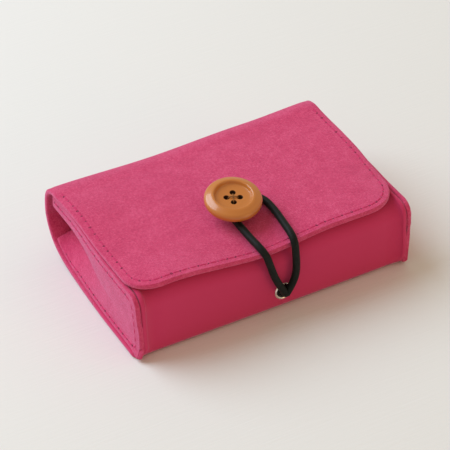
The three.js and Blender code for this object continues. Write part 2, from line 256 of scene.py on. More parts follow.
def set_cloth(piece, coordinates):
    """Keeps where each vertex lies in the flat material, so that the grain bends with the piece."""
    attribute = piece.data.attributes.new("cloth", "FLOAT_VECTOR", "POINT")
    attribute.data.foreach_set("vector", np.asarray(coordinates, np.float32).ravel())


def new_solid(name, vertices, faces, cloth):
    """A closed piece whose faces look outwards."""
    piece = new_piece(name, vertices, faces)
    bm = bmesh.new()
    bm.from_mesh(piece.data)
    bmesh.ops.recalc_face_normals(bm, faces=bm.faces)
    bm.to_mesh(piece.data)
    bm.free()
    set_cloth(piece, cloth)
    return piece


def circle(count):
    """(cosine, sine) of count angles once round."""
    return [(math.cos(2 * math.pi * k / count), math.sin(2 * math.pi * k / count)) for k in range(count)]


def grid_faces(rows, columns, first=0, flip=False):
    starts = [first + i * columns + j for i in range(rows - 1) for j in range(columns - 1)]
    quads = [(a, a + 1, a + columns + 1, a + columns) for a in starts]
    return [quad[::-1] for quad in quads] if flip else quads


def edge_loop(rows, columns):
    """(row, column) of each grid point once round the border."""
    loop = [(0, j) for j in range(columns - 1)]
    loop += [(i, columns - 1) for i in range(rows - 1)]
    loop += [(rows - 1, j) for j in range(columns - 1, 0, -1)]
    loop += [(i, 0) for i in range(rows - 1, 0, -1)]
    return loop


# Rings round a raw edge: (share of the half thickness, distance out)
RIM = [(0.74, 0.2 * MM), (0.3, 0.3 * MM), (-0.3, 0.3 * MM), (-0.74, 0.2 * MM)]
ENDS = {"first_row": (0, 1), "last_row": (-1, -2)}  # (row, next row in)


def edge_directions(points, joined):
    """Unit directions out of a sheet along its raw edges, and 0 elsewhere."""
    out = np.zeros_like(points)
    for side, (row, inner) in ENDS.items():
        if side not in joined:
            out[row] += unit(points[row] - points[inner])
    out[:, 0] += unit(points[:, 0] - points[:, 1])
    out[:, -1] += unit(points[:, -1] - points[:, -2])
    return unit(out) * (np.linalg.norm(out, axis=-1, keepdims=True) > 0.1)


def felt_sheet(name, points, cloth, half=FELT / 2, joined=None, relief=0.0):
    """A closed sheet of felt round the middle surface points[row, column], with soft raw edges.

    half is half the thickness and relief the height added on top, for the whole sheet or for each point.
    joined gives the borders that meet another piece (first_row or last_row), each with the normal that both
    pieces share there.
    """
    joined = joined or {}
    rows, columns = points.shape[:2]
    half = np.broadcast_to(half, (rows, columns))[..., None]
    normal = unit(np.cross(np.gradient(points, axis=1), np.gradient(points, axis=0)))
    for side, shared in joined.items():
        row = ENDS[side][0]
        normal[row] = shared * np.sign(normal[row] @ np.array(shared))[:, None]
    out = edge_directions(points, joined)
    top = points + normal * (half + np.broadcast_to(relief, (rows, columns))[..., None])
    bottom = points - normal * half
    loop = edge_loop(rows, columns)
    at = tuple(np.array(loop).T)
    rings = [points[at] + normal[at] * half[at] * share + out[at] * reach for share, reach in RIM]
    vertices = np.concatenate([top.reshape(-1, 3), bottom.reshape(-1, 3), *rings])
    faces = grid_faces(rows, columns) + grid_faces(rows, columns, rows * columns, flip=True)
    flat = [i * columns + j for i, j in loop]
    count = len(loop)
    chain = [flat]
    chain += [[2 * rows * columns + k * count + m for m in range(count)] for k in range(len(RIM))]
    chain += [[rows * columns + index for index in flat]]
    for upper, lower in zip(chain, chain[1:]):
        for m in range(count):
            n = (m + 1) % count
            faces.append((upper[m], lower[m], lower[n], upper[n]))
    above = np.concatenate([cloth, half], axis=2).reshape(-1, 3)
    below = np.concatenate([cloth, -half], axis=2).reshape(-1, 3)
    edges = [np.column_stack([cloth[at], half[at][:, 0] * share]) for share, _ in RIM]
    piece = new_solid(name, vertices, faces, np.concatenate([above, below, *edges]))
    if joined:
        sharpen_ends(piece, rows, columns, joined)
    return piece


def sharpen_ends(piece, rows, columns, joined):
    """Keeps the cut faces of a joined end out of the smooth shading of the surface."""
    ends = set()
    for side in joined:
        first = 0 if side == "first_row" else (rows - 1) * columns
        for layer in (0, rows * columns):
            ends.update(range(layer + first, layer + first + columns))
    for edge in piece.data.edges:
        if edge.vertices[0] in ends and edge.vertices[1] in ends:
            edge.use_edge_sharp = True


def tube(name, line, radius, sides=16):
    """A closed tube along line, a list of close points. Its section doesn't twist."""
    line = np.asarray(line, float)
    tangent = unit(np.gradient(line, axis=0))
    any_way = (0.31, 0.17, 0.94)
    side = unit(np.cross(tangent[0], any_way))
    vertices, cloth = [], []
    for centre, along, run in zip(line, tangent, run_along(line)):
        side = unit(side - along * (side @ along))
        up = np.cross(along, side)
        for c, s in circle(sides):
            vertices.append(centre + radius * (c * side + s * up))
            cloth.append((radius * c, radius * s, run))
    faces = []
    for i in range(len(line) - 1):
        for k in range(sides):
            n = (k + 1) % sides
            faces.append((i * sides + k, i * sides + n, (i + 1) * sides + n, (i + 1) * sides + k))
    faces += [tuple(range(sides))[::-1], tuple(range((len(line) - 1) * sides, len(line) * sides))]
    return new_solid(name, vertices, faces, cloth)


def turned(name, profile, axis_point, axis, segments):
    """A lathe solid of (radius, height) points, from the axis out and back to it or in a closed ring."""
    closed = profile[0][0] > 0
    vertices, rings = [], []
    for radius, height in profile:
        if radius == 0:
            rings.append([len(vertices)] * segments)
            vertices.append((0, 0, height))
            continue
        rings.append([len(vertices) + k for k in range(segments)])
        vertices += [(radius * c, radius * s, height) for c, s in circle(segments)]
    faces = []
    pairs = list(zip(rings, rings[1:])) + ([(rings[-1], rings[0])] if closed else [])
    for lower, upper in pairs:
        for k in range(segments):
            n = (k + 1) % segments
            faces.append(tuple(dict.fromkeys((lower[k], lower[n], upper[n], upper[k]))))
    piece = new_solid(name, vertices, faces, vertices)
    turn = Matrix.Rotation(math.pi / 2, 4, "X") if axis == "-Y" else Matrix.Identity(4)
    piece.data.transform(Matrix.Translation(axis_point) @ turn)
    return piece


def joined_piece(name, pieces):
    """Several meshes as one piece, keeping their materials."""
    bm = bmesh.new()
    materials = []
    for part in pieces:
        mesh = part.data
        start = len(materials)
        materials += list(mesh.materials)
        for polygon in mesh.polygons:
            polygon.material_index += start
        bm.from_mesh(mesh)
    mesh = bpy.data.meshes.new(name)
    bm.to_mesh(mesh)
    bm.free()
    for material in materials:
        mesh.materials.append(material)
    for part in pieces:
        bpy.data.objects.remove(part)
    return linked(name, mesh)


def add_boolean(piece, cutter):
    """A modifier that takes cutter away from piece."""
    modifier = piece.modifiers.new("hole", "BOOLEAN")
    modifier.object = cutter
    modifier.operation = "DIFFERENCE"
    modifier.solver = "EXACT"
    return modifier


def apply_modifiers(piece, cutter):
    """Keeps what the modifiers make of the piece, and removes the cutter they used."""
    evaluated = piece.evaluated_get(bpy.context.evaluated_depsgraph_get())
    mesh = bpy.data.meshes.new_from_object(evaluated)
    piece.modifiers.clear()
    piece.data = mesh
    bpy.data.objects.remove(cutter)


# Materials

def set_inputs(node, values):
    for name, value in values.items():
        node.inputs[name].default_value = value


class Shader:
    """A material in the making. Its textures lie on the piece's own flat coordinates."""

    def __init__(self, name):
        self.material = bpy.data.materials.new(name)
        self.material.use_nodes = True
        self.tree = self.material.node_tree

    def wired(self, node, values, sources):
        """The node with these values and sources for its inputs."""
        set_inputs(node, values)
        for name, source in sources.items():
            if source:
                self.tree.links.new(source, node.inputs[name])
        return node

    def add(self, kind, values, sources):
        return self.wired(self.tree.nodes.new("ShaderNode" + kind), values, sources)

    def cloth(self, *scale):
        """The flat coordinates, in units of 1 / scale metres."""
        attribute = self.add("Attribute", {}, {})
        attribute.attribute_name = "cloth"
        return self.mapped(attribute.outputs["Vector"], {"Scale": scale})

    def mapped(self, vector, values):
        return self.add("Mapping", values, {"Vector": vector}).outputs["Vector"]

    def noise(self, vector, scale, detail=4, roughness=0.6, distortion=0.0):
        values = {"Scale": scale, "Detail": detail, "Roughness": roughness, "Distortion": distortion}
        return self.add("TexNoise", values, {"Vector": vector}).outputs["Fac"]

    def ramp(self, value, stops):
        """A colour for the value, from stops of (value, colour)."""
        node = self.add("ValToRGB", {}, {"Fac": value})
        while len(node.color_ramp.elements) < len(stops):
            node.color_ramp.elements.new(0.5)
        for element, (place, colour) in zip(node.color_ramp.elements, stops):
            element.position = place
            element.color = (*colour, 1)
        return node.outputs["Color"]

    def multiplied(self, first, second, share):
        """The first colour times a share of the second."""
        node = self.add("Mix", {}, {})
        node.data_type = "RGBA"
        node.blend_type = "MULTIPLY"
        return self.wired(node, {"Factor": share}, {"A": first, "B": second}).outputs["Result"]

    def mixed(self, first, second, share):
        """The sum of two single values, weighted 1 - share and share."""
        return self.add("Mix", {"Factor": share}, {"A": first, "B": second}).outputs["Result"]

    def bump(self, height, distance, strength=1.0, below=None):
        """A normal that leans with the height, on top of the normal below."""
        values = {"Distance": distance, "Strength": strength}
        return self.add("Bump", values, {"Height": height, "Normal": below}).outputs["Normal"]

    def finished(self, values, colour=None, normal=None):
        """The material, with its surface's values, colour and normal."""
        sources = {"Base Color": colour, "Normal": normal}
        self.wired(self.tree.nodes["Principled BSDF"], values, sources)
        return self.material


def felt_material(name, dark, middle, light, sheen):
    """Pressed wool: short matted fibres, faint clouds of colour and a pale nap."""
    shader = Shader(name)
    round_grain = shader.cloth(1000, 1000, 1000)
    fibres = shader.noise(shader.cloth(600, 1500, 1000), 1.5, 5, 0.75, 1.2)
    cross = shader.noise(shader.cloth(1600, 550, 1000), 1.3, 5, 0.75, 1.0)
    clouds = shader.noise(round_grain, 0.16, 3, 0.55, 0.4)
    mottle = shader.noise(round_grain, 1.5, 5, 0.8, 0.8)
    matted = shader.mixed(fibres, cross, 0.5)
    blotched = shader.mixed(clouds, mottle, 0.75)
    tone = shader.mixed(matted, blotched, 0.5)
    colour = shader.ramp(tone, [(0.41, dark), (0.5, middle), (0.59, light)])
    deep = shader.bump(mottle, 0.4 * MM, 0.5)
    values = {
        "Roughness": 0.95, "Specular IOR Level": 0.1,
        "Sheen Weight": 0.55, "Sheen Roughness": 0.4, "Sheen Tint": (*sheen, 1),
    }
    return shader.finished(values, colour, shader.bump(matted, 0.35 * MM, 0.9, deep))


def thread_material(name, colour, roughness=0.6):
    """Two-ply cotton: the plies wind round the thread."""
    shader = Shader(name)
    plies = shader.noise(shader.cloth(1500, 1500, 4000), 1.6, 3, 0.6, 0.8)
    pale = tuple(min(1, c * 1.25 + 0.01) for c in colour)
    dark = tuple(c * 0.8 for c in colour)
    tone = shader.ramp(plies, [(0.35, dark), (0.65, pale)])
    values = {"Roughness": roughness, "Specular IOR Level": 0.1}
    return shader.finished(values, tone, shader.bump(plies, 0.1 * MM))


def wood_material():
    """Lacquered orange-brown wood with long grain streaks and fine pores."""
    shader = Shader("wood_lacquered")
    streaks = shader.noise(shader.cloth(90, 620, 300), 1.0, 5, 0.62, 0.9)
    pores = shader.noise(shader.cloth(260, 3600, 1200), 1.0, 3, 0.6, 0.3)
    grain = shader.ramp(
        streaks, [(0.4, (0.40, 0.115, 0.013)), (0.5, (0.63, 0.215, 0.032)), (0.6, (0.86, 0.38, 0.085))],
    )
    shade = shader.ramp(pores, [(0.36, (0.62, 0.5, 0.42)), (0.52, (1, 1, 1))])
    colour = shader.multiplied(grain, shade, 0.45)
    values = {"Roughness": 0.34, "Coat Weight": 0.6, "Coat Roughness": 0.12}
    return shader.finished(values, colour, shader.bump(pores, 0.05 * MM, 0.4))


def button_hole_shade_material():
    """Bare end grain on the walls of the button's holes, coloured nearly black: painted shade deep inside the
    holes.
    """
    shader = Shader("button_hole_painted_shade")
    grain = shader.noise(shader.cloth(900, 900, 2500), 1.0, 3)
    # near-black tones: painted shade for the holes' walls
    colour = shader.ramp(grain, [(0.3, (0.035, 0.010, 0.003)), (0.7, (0.09, 0.03, 0.008))])
    return shader.finished({"Roughness": 0.8}, colour)


def elastic_material():
    """Smooth black braid round a rubber core."""
    shader = Shader("elastic_black")
    grain = shader.cloth(1400, 1400, 1400)
    wave = shader.add("TexWave", {"Scale": 0.62, "Distortion": 0.6, "Detail": 2}, {"Vector": grain})
    wave.bands_direction = "DIAGONAL"
    lint = shader.noise(grain, 0.5, 3, 0.6)
    colour = shader.ramp(lint, [(0.3, (0.003, 0.004, 0.004)), (0.75, (0.010, 0.014, 0.012))])
    values = {"Roughness": 0.55, "Specular IOR Level": 0.16, "Sheen Weight": 0.03}
    return shader.finished(values, colour, shader.bump(wave.outputs["Fac"], 0.05 * MM, 0.6))


def metal_material():
    """Bright nickel with faint turning marks."""
    shader = Shader("nickel")
    wear = shader.noise(shader.cloth(900, 900, 900), 1.4, 4, 0.6)
    colour = shader.ramp(wear, [(0.3, (0.72, 0.68, 0.62)), (0.7, (0.93, 0.9, 0.86))])
    values = {"Metallic": 1, "Roughness": 0.27}
    return shader.finished(values, colour, shader.bump(wear, 0.03 * MM, 0.4))


def hole_material():
    """The shade inside a needle hole in pink felt."""
    shader = Shader("needle_hole_shade")
    grain = shader.noise(shader.cloth(2000, 2000, 2000), 2.0)
    colour = shader.ramp(grain, [(0.3, (0.07, 0.004, 0.018)), (0.7, (0.17, 0.011, 0.042))])
    return shader.finished({"Roughness": 1}, colour)


def floor_material():
    """Pale painted surface with a very fine ribbed grain."""
    shader = Shader("pale_floor")
    place = shader.add("TexCoord", {}, {}).outputs["Object"]
    place = shader.mapped(place, {"Scale": (60, 900, 1), "Rotation": (0, 0, math.radians(38))})
    ribs = shader.noise(place, 1.0, 2, 0.5, 0.3)
    values = {"Base Color": (0.8, 0.795, 0.785, 1), "Roughness": 0.6, "Specular IOR Level": 0.25}
    return shader.finished(values, normal=shader.bump(ribs, 0.25 * MM, 0.25))


# Camera, made first with the elastic, as both fix where things show

CAMERA_AZIMUTH = math.radians(-26.5)
CAMERA_ELEVATION = math.radians(37.2)
CAMERA_ROLL = math.radians(-2.57)
CAMERA_DISTANCE = 0.764
CAMERA_AIM = Vector((-0.0008, 0.0004, 0.014))
CAMERA_LENS = 184  # for a sensor 36 mm wide


def make_camera():
    data = bpy.data.cameras.new("camera")
    data.sensor_width = 36
    data.lens = CAMERA_LENS
    data.clip_start = 0.01
    camera = linked("camera", data)
    flat = math.cos(CAMERA_ELEVATION)
    back = Vector((
        math.sin(CAMERA_AZIMUTH) * flat, -math.cos(CAMERA_AZIMUTH) * flat, math.sin(CAMERA_ELEVATION),
    ))
    turn = (-back).to_track_quat("-Z", "Y").to_matrix().to_4x4() @ Matrix.Rotation(CAMERA_ROLL, 4, "Z")
    camera.matrix_world = Matrix.Translation(CAMERA_AIM + back * CAMERA_DISTANCE) @ turn
    bpy.context.scene.camera = camera


make_camera()

pink = felt_material(
    "felt_pink", (0.54, 0.035, 0.120), (0.66, 0.060, 0.165), (0.78, 0.115, 0.255), (1.0, 0.55, 0.85),
)
cream = felt_material("felt_cream", (0.66, 0.60, 0.48), (0.76, 0.70, 0.58), (0.86, 0.82, 0.72), (1, 1, 0.95))
pink_thread = thread_material("thread_pink", (0.62, 0.048, 0.162), 0.95)
tan_thread = thread_material("thread_tan", (0.30, 0.13, 0.04))
needle_hole = hole_material()
elastic = elastic_material()
wood = wood_material()
# painted shade for the walls of the button's holes
button_hole_shade = button_hole_shade_material()
nickel = metal_material()


# Elastic loop

STITCH_SINK = 0.4 * MM  # the flap's stitches are sunk in the felt, so the elastic lies this much lower
LEFT_LEAN = 1.1 * MM  # the left strand is pulled a little to the middle


def elastic_loop():
    route = [*LEFT_STRAND, *BIGHT, *RIGHT_STRAND[::-1]]
    line = eased(settled(smooth_path(route, 0.7 * MM)), 5)
    line[:, 0] += LEFT_LEAN * smoothstep(9 * MM, 22 * MM, line[:, 2]) * smoothstep(0, -5 * MM, line[:, 0])
    line[:, 2] -= STITCH_SINK * smoothstep(24 * MM, 28 * MM, line[:, 2])
    loop = tube("elastic_loop", line, CORD_RADIUS, sides=20)
    loop.data.materials.append(elastic)
    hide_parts("elastic_strands", "elastic_bight")
    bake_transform(loop)


def knot_line():
    """A trefoil: the simplest closed line that is knotted."""
    angles = np.linspace(0, 2 * math.pi, 121)[:-1]
    reach = (1.35 + 0.75 * np.cos(3 * angles)) * MM
    bends = np.column_stack([
        reach * np.cos(2 * angles), 1.25 * MM * np.sin(3 * angles), reach * np.sin(2 * angles),
    ])
    return np.vstack([bends, bends[:2]])


def elastic_tails():
    """The two strands squeezed through the eyelet, and the knot they are tied in behind the wall."""
    middle_x, middle_z = EYELET_CENTRE.x, EYELET_CENTRE.z
    back = EYELET_HIGH.y + 0.3 * MM
    squeezed = 1.15 * MM
    parts = []
    for side in (LEFT_SIDE, RIGHT_SIDE):
        x = middle_x + side * 1.05 * MM
        strand = smooth_path([
            (middle_x + side * 0.4 * MM, EDGE + 0.3 * MM, middle_z + 0.4 * MM),
            (x, EYELET_LOW.y, middle_z),
            (x, back, middle_z),
        ], 0.5 * MM)
        parts.append(tube("strand", strand, squeezed, sides=14))
    bends = knot_line() + (middle_x, back + 3.2 * MM, middle_z)
    parts.append(tube("bends", bends, 1.1 * MM, sides=12))
    tails = joined_piece("elastic_tails", parts)
    tails.data.materials.append(elastic)
    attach(tails, "case")
    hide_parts("elastic_knot")


elastic_loop()
elastic_tails()


# The felt strip

BASE_MIDDLE_Z = FELT / 2
TOP_MIDDLE_Z = SEAM_TOP - SEAM_STAND - FELT / 2  # middle of the top panel
WALL_MIDDLE_Y = WALL_FACE + FELT / 2
FRONT_FOLD = 4.6 * MM
BOTTOM_FOLD = 1.2 * MM
TOP_PANEL_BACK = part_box("top_panel")[1].y
FLAP_MIDDLE_Z = FLAP_TOP - FELT / 2
SEAM_EDGE_Z = SEAM_TOP - 0.4 * MM  # a dark line shows between the sewn edges and the flap
OUTLINE_TOP = 4.5 * MM  # corner radii of the seam's outline, seen from the end
OUTLINE_FOOT = 1.2 * MM
RIM_REACH = 0.3 * MM
SEAM_PRESS = 0.22  # share of the thickness lost where the seam presses the felt
FLAP_EDGE_PRESS = 0.14

# Middle line (y, z) of the back of the strip: base, spine and flap
BACK_ROUTE = [
    (0, BASE_MIDDLE_Z), (0.010, BASE_MIDDLE_Z), (0.020, 0.0015), (0.0275, 0.0030), (0.0322, 0.0058),
    (0.0350, 0.0100), (0.0362, 0.0145), (0.0359, 0.0190), (0.0348, 0.0230), (0.0325, 0.0258),
    (0.0285, 0.0271), (0.0240, FLAP_MIDDLE_Z), (0.020, FLAP_MIDDLE_Z), (0.0, FLAP_MIDDLE_Z),
    (FLAP_LOW.y, FLAP_MIDDLE_Z),
]
FLAP_TAPER = 1.4 * MM
SPINE_MIDDLE_Z = 0.0145  # where the spine's lower and upper halves meet
MARGIN_START = 42.4 * MM  # x at which a panel begins to turn out to its seam


def outline_gap(y, z):
    """Distance from (y, z) out to the seam's outline at the front, positive inside."""
    front = y - SEAM_FRONT
    return np.minimum(rounded_gap(front, SEAM_EDGE_Z - z, OUTLINE_TOP), rounded_gap(front, z, OUTLINE_FOOT))


def stand_at(point, outward):
    """How far the strip's turned margin stands out of its middle line to reach the seam's outline."""
    furthest = 9 * MM
    steps = np.linspace(0, furthest, 361)
    way = point + outward * steps[:, None]
    return steps[np.argmax(outline_gap(way[:, 0], way[:, 1]) < 0)] - RIM_REACH


def margin_profile():
    """(x, share turned out) across half of a panel: flat, then a quarter turn outwards at the seam."""
    end = PANEL_HALF - (1 - SEAM_PRESS) * FELT / 2
    flat = np.linspace(0, MARGIN_START, 2 * round(MARGIN_START / STEP / 2) + 1)
    angles = np.linspace(0, math.pi / 2, 11)[1:]
    x = np.concatenate([flat, MARGIN_START + (end - MARGIN_START) * np.sin(angles)])
    return x, np.concatenate([np.zeros(len(flat)), 1 - np.cos(angles)])


def outward_of(line):
    """The normals of a line (y, z) that point out of the case."""
    inside = np.array([0, 13 * MM])
    tangent = unit(np.gradient(line, axis=0))
    outward = np.column_stack([tangent[:, 1], -tangent[:, 0]])
    return outward * np.sign((outward * (line - inside)).sum(axis=1).mean())


def flatness_along(line):
    """1 where a panel's margins lie flat, under the base and up the spine, and 0 where they turn out."""
    y, z = line[:, 0], line[:, 1]
    base = smoothstep(4.5 * MM, 1.2 * MM, z) * smoothstep(-33.5 * MM, -29 * MM, y)
    back = smoothstep(0, 5 * MM, y) * (z < TOP_MIDDLE_Z - STEP)
    return np.maximum(base, back)


def panel_lean(points):
    """How far a panel's ends lean out, less at the right end's foot."""
    x, y, z = np.moveaxis(points, -1, 0)
    side = np.sign(x)
    foot = smoothstep(6 * MM, 1 * MM, z) * (side > 0)
    return side * splay(y, side) * smoothstep(38 * MM, 46 * MM, np.abs(x)) * (1 - FOOT_TUCK * foot)


def panel_points(line):
    """(points, half thickness) of a panel swept along line (y, z)."""
    line = np.asarray(line, float)
    outward = outward_of(line)
    flatness = flatness_along(line)
    x, turned_share = margin_profile()
    spread = np.column_stack([np.linspace(0, FLAP_HALF, len(x)), 0 * x])
    relief = 0.35 * MM * (hump(0, 40 * MM, x) - hump(42.6 * MM, 3.4 * MM, x))  # crown and groove by the seam
    half = np.zeros((len(line), len(x), 2))
    for i, flat in enumerate(flatness):
        stand = stand_at(line[i], outward[i]) * turned_share if flat < 1 else 0 * x
        half[i] = np.column_stack([x, stand + relief]) * (1 - flat) + spread * flat
    both = np.concatenate([half[:, :0:-1] * (-1, 1), half], axis=1)
    points = np.zeros((*both.shape[:2], 3))
    points[..., 0] = both[..., 0]
    points[..., 1:] = line[:, None, :]
    points[..., 0] += panel_lean(points)
    points[..., 1:] += outward[:, None, :] * both[..., 1:2]
    share = np.concatenate([turned_share[:0:-1], turned_share])
    press = 1 - SEAM_PRESS * share[None, :] * (1 - 0.6 * flatness[:, None])
    return points, press * FELT / 2


def cloth_of(points):
    """Flat coordinates of a grid, measured along its rows and columns from the middle."""
    down = np.linalg.norm(np.diff(points, axis=0), axis=2)
    across = np.linalg.norm(np.diff(points, axis=1), axis=2)
    s = np.cumsum(np.pad(down, ((1, 0), (0, 0))), axis=0)
    u = np.cumsum(np.pad(across, ((0, 0), (1, 0))), axis=1)
    middle = points.shape[1] // 2
    s_middle = np.broadcast_to(s[:, middle:middle + 1], s.shape)
    return np.stack([u - u[:, middle:middle + 1], s_middle], axis=2)


def finish_felt(piece):
    piece.data.materials.append(pink)


def cut_eyelet_hole(piece):
    """Cuts the wall away where the eyelet's barrel passes through it."""
    radius = EYELET_RADIUS - 0.4 * MM
    ys = np.linspace(WALL_FACE - 4 * MM, WALL_FACE + 6 * MM, 3)
    cutter = tube("cutter", [(EYELET_CENTRE.x, y, EYELET_CENTRE.z) for y in ys], radius, 32)
    add_boolean(piece, cutter)
    apply_modifiers(piece, cutter)


def pocket_felt():
    """Top panel, front wall and the front of the base, in one."""
    corners = [
        (TOP_PANEL_BACK, TOP_MIDDLE_Z), (WALL_MIDDLE_Y, TOP_MIDDLE_Z),
        (WALL_MIDDLE_Y, BASE_MIDDLE_Z), (0, BASE_MIDDLE_Z),
    ]
    points, half = panel_points(filleted(corners, (FRONT_FOLD, BOTTOM_FOLD), STEP))
    points = settled(points)
    piece = felt_sheet("pocket_felt", points, cloth_of(points), half, joined={"last_row": (0, 0, 1)})
    finish_felt(piece)
    cut_eyelet_hole(piece)
    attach(piece, "case")
    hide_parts("base_panel", "front_wall", "top_panel")


def back_lines():
    """The back of the strip's middle line, cut in two halfway up the spine, and its normal there."""
    line = smooth_path(BACK_ROUTE, STEP)
    behind = np.where(line[:, 0] > 30 * MM)[0]
    cut = behind[np.argmin(np.abs(line[behind, 1] - SPINE_MIDDLE_Z))]
    along = unit(line[cut + 1] - line[cut - 1])
    return line[:cut + 1], line[cut:], (0.0, along[1], -along[0])


def spine_felt(line, end_normal):
    """The back of the base and the lower half of the spine."""
    points, half = panel_points(line)
    points = settled(points)
    joined = {"first_row": (0, 0, 1), "last_row": end_normal}
    piece = felt_sheet("spine_felt", points, cloth_of(points), half, joined)
    finish_felt(piece)
    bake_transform(piece)
    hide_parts("spine_panel")


def tapered(points):
    """The flap narrows a little towards its front right corner."""
    points = np.array(points, float)
    x, y, z = np.moveaxis(points, -1, 0)
    front = smoothstep(4 * MM, -26 * MM, y) * (z > SPINE_MIDDLE_Z)
    points[..., 0] -= FLAP_TAPER * front * smoothstep(15 * MM, FLAP_HALF, x)
    return points


def flap_rows(line):
    """The flap's middle line with its rows drawn together towards the front edge, where the corners turn."""
    kept = [p for p in line if p[0] > FLAP_LOW.y + RIGHT_CORNER + STEP / 2]
    ends = [(FLAP_LOW.y + RIGHT_CORNER * (1 - math.cos(a)), FLAP_MIDDLE_Z)
            for a in np.linspace(math.pi / 2, 0, 28)]
    return np.array([*kept, *ends])


def flap_points(line):
    """Middle surface of the spine's upper half and the flap, before it settles."""
    y, z = line[:, 0], line[:, 1]
    upper = z > 20 * MM
    left = FLAP_HALF - upper * corner_cut(y, FLAP_LOW.y, LEFT_CORNER)
    right = FLAP_HALF - upper * corner_cut(y, FLAP_LOW.y, RIGHT_CORNER)
    share = np.linspace(0, 1, 2 * round(FLAP_HALF / STEP) + 1)
    x = -left[:, None] * (1 - share) + right[:, None] * share
    return np.stack([x, y[:, None] + 0 * x, z[:, None] + 0 * x], axis=2)


def flap_inset(x, y):
    """Distance in from the flap's free edges."""
    return rounded_gap(y - FLAP_LOW.y, FLAP_HALF - np.abs(x), np.where(x > 0, RIGHT_CORNER, LEFT_CORNER))


def flap_felt(line, first_normal):
    """The upper half of the spine and the flap."""
    plain = flap_points(flap_rows(line))
    points = settled(tapered(plain))
    cloth = cloth_of(points) + (0, 0.1)
    inset = flap_inset(plain[..., 0], plain[..., 1])
    groove = -0.16 * MM * hump(FLAP_STITCH_INSET, 1.3 * MM, inset)
    half = FELT / 2 * (1 - FLAP_EDGE_PRESS * smoothstep(3.2 * MM, 0.4 * MM, inset))
    piece = felt_sheet("flap_felt", points, cloth, half, {"first_row": first_normal}, groove)
    finish_felt(piece)
    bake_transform(piece)
    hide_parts("flap_panel")


pocket_felt()
lower_line, upper_line, spine_normal = back_lines()
spine_felt(lower_line, spine_normal)
flap_felt(upper_line, spine_normal)


# End gussets

GUSSET_COLUMNS = 48
TUCK = 8.2 * MM  # how far the bellows goes in at the back
TUCK_START = -25 * MM
UPPER_MARGIN = 20.4 * MM


def base_rise(y):
    """Height of the strip's lower face, which curves up towards the spine."""
    return np.interp(y, lower_line[:, 0], np.maximum(lower_line[:, 1] - FELT / 2, 0))


def gusset_foot(y):
    """Height of a gusset's lower edge: on the strip's margin, and down to the floor at the front corner."""
    on_strip = base_rise(y) + (1 - 0.4 * SEAM_PRESS) * FELT + 0.1 * MM
    return on_strip + (0.5 * MM - on_strip) * smoothstep(-27 * MM, -32.5 * MM, y)


def gusset_section(y, side):
    """(distance out, z) points up a gusset at y: foot, valley of the bellows, upper margin, top edge."""
    back = min(1, max(0, (y - TUCK_START) / (GUSSET_BACK - TUCK_START)))
    lean = float(splay(y, side))
    face = GUSSET_MIDDLE_X - 0.25 * MM + lean
    front = SEAM_FRONT + RIM_REACH
    low = gusset_foot(y) + corner_cut(y, front, OUTLINE_FOOT) + RIM_REACH
    high = SEAM_EDGE_Z - corner_cut(y, front, OUTLINE_TOP) - RIM_REACH
    margin_top = low + 0.3 * MM + 2.6 * MM * (1 - back ** 2)
    valley_z = 11.3 * MM - 3.0 * MM * back ** 1.5
    valley = face - 0.5 * MM - TUCK * back ** 2
    flare = (0.1 * MM if side == RIGHT_SIDE else 0.55 * MM) * (1 - 0.6 * back)
    tucked = FOOT_TUCK * lean if side == RIGHT_SIDE else 0
    upper = (face - 0.15 * MM, UPPER_MARGIN)
    if high < UPPER_MARGIN + 1 * MM:
        upper = (face - 0.1 * MM, (valley_z + high) / 2)
    corners = [
        (face + flare - tucked, low), (face - 0.45 * MM - tucked / 2, margin_top), (valley, valley_z),
        upper, (face, high),
    ]
    section = filleted(corners, (0.8 * MM, 0.4 * MM, 1.6 * MM), 0.25 * MM)
    return respaced(section, length_of(section) / (GUSSET_COLUMNS - 1))


def gusset_points(side):
    """Middle surface of a gusset, with its rows closer where the outline's top corner turns."""
    turns = np.linspace(0, math.pi / 2, 9)
    front = SEAM_FRONT + RIM_REACH
    start = front + OUTLINE_TOP
    corner = front + OUTLINE_TOP * (1 - np.cos(turns))
    ys = np.concatenate([corner, np.arange(start + STEP, GUSSET_BACK - STEP / 2, STEP), [GUSSET_BACK]])
    rows = []
    for y in ys:
        section = gusset_section(float(y), side)
        rows.append(np.column_stack([side * section[:, 0], np.full(len(section), y), section[:, 1]]))
    return settled(np.array(rows))


def gusset_felt(name, side):
    points = gusset_points(side)
    cloth = cloth_of(points) + (0.2 + 0.1 * side, 0.3)  # away from the other sheets' grain
    y, z = points[..., 1], points[..., 2]
    inset = np.minimum(y - SEAM_FRONT, np.minimum(z - z[:, :1], z[:, -1:] - z))
    half = FELT / 2 * (1 - SEAM_PRESS * smoothstep(3.6 * MM, 0.8 * MM, inset))
    piece = felt_sheet(name, points, cloth, half)
    finish_felt(piece)
    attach(piece, "case")
    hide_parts(name.replace("_felt", ""))


gusset_felt("left_gusset_felt", LEFT_SIDE)
gusset_felt("right_gusset_felt", RIGHT_SIDE)


# Stitches

HOLE_SHARE = 0.09  # share of a stitch that each needle hole takes


